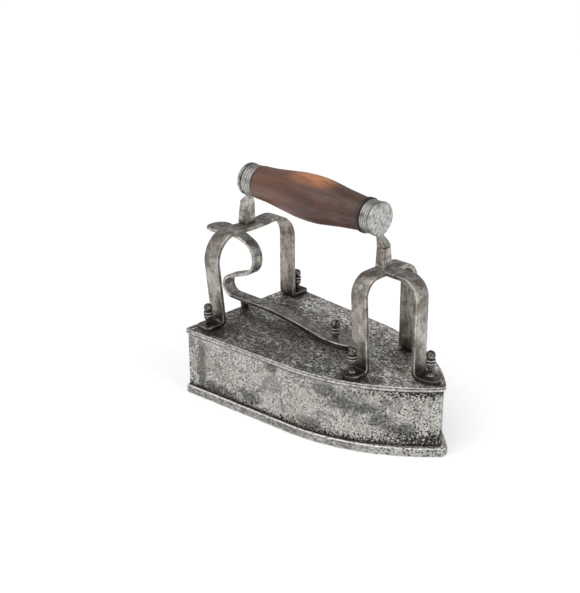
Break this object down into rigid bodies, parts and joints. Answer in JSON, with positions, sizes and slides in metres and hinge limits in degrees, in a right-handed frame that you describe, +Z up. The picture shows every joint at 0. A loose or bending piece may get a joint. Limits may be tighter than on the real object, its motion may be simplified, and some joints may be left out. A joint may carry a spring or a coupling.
{
  "type": "box_iron",
  "caption": "Hollow box iron with a wooden bar grip on forged straps, turned finial screws, a curled latch spring over the stern door and a loose heating slug",
  "frame": {"origin": "on the sole's flat face, midway along the top plate and on the centre line", "axes": "+X towards the nose, +Y to the left of someone ironing, +Z up; the picture is taken from +X and -Y"},
  "size_m": [0.2143, 0.1052, 0.1583],
  "materials": {
    "polished_iron": "worn, mottled, lightly pitted",
    "dark_iron": "worn, dark, finely streaked",
    "forged_steel": "forged, satin, slightly rusty",
    "turned_steel": "turned, dark, rusty",
    "bright_steel": "scratched, bright",
    "cast_slug": "scaled",
    "dark_wood": "hand-worn, dull polish"
  },
  "bodies": {
    "root": {"sole_plate": "polished_iron", "side_wall": "polished_iron", "top_plate": "dark_iron", "hinge_pin": "forged_steel", "spring_screw": "turned_steel", "rear_support": "forged_steel", "front_cross_support": "forged_steel", "nose_leg": "forged_steel", "rear_foot_screws": "turned_steel", "front_foot_screws": "turned_steel", "rear_post": "forged_steel", "front_post": "forged_steel", "rear_ferrule": "bright_steel", "front_ferrule": "bright_steel", "grip": "dark_wood", "handle_rod": "forged_steel"},
    "door": {"stern_door": "polished_iron", "door_knob": "forged_steel"},
    "latch": {"latch_spring": "forged_steel"},
    "slug": {"heating_slug": "cast_slug"}
  },
  "joints": [
    {"name": "door_hinge", "type": "hinge", "parent": "root", "child": "door", "pos_m": [-0.086, -0.04417, 0.0252], "axis": [0, 0, 1], "range_deg": [0, 95]},
    {"name": "latch_flex", "type": "hinge", "parent": "root", "child": "latch", "pos_m": [-0.012, 0, 0.0489], "axis": [0, 1, 0], "range_deg": [0, 4.5], "stiffness_Nm_per_rad": 14, "springref_deg": -1.15, "deforming": ["latch_spring"]},
    {"name": "slug_play", "type": "slide", "parent": "root", "child": "slug", "axis": [-1, 0, 0], "range_m": [0, 0.0045]}
  ]
}
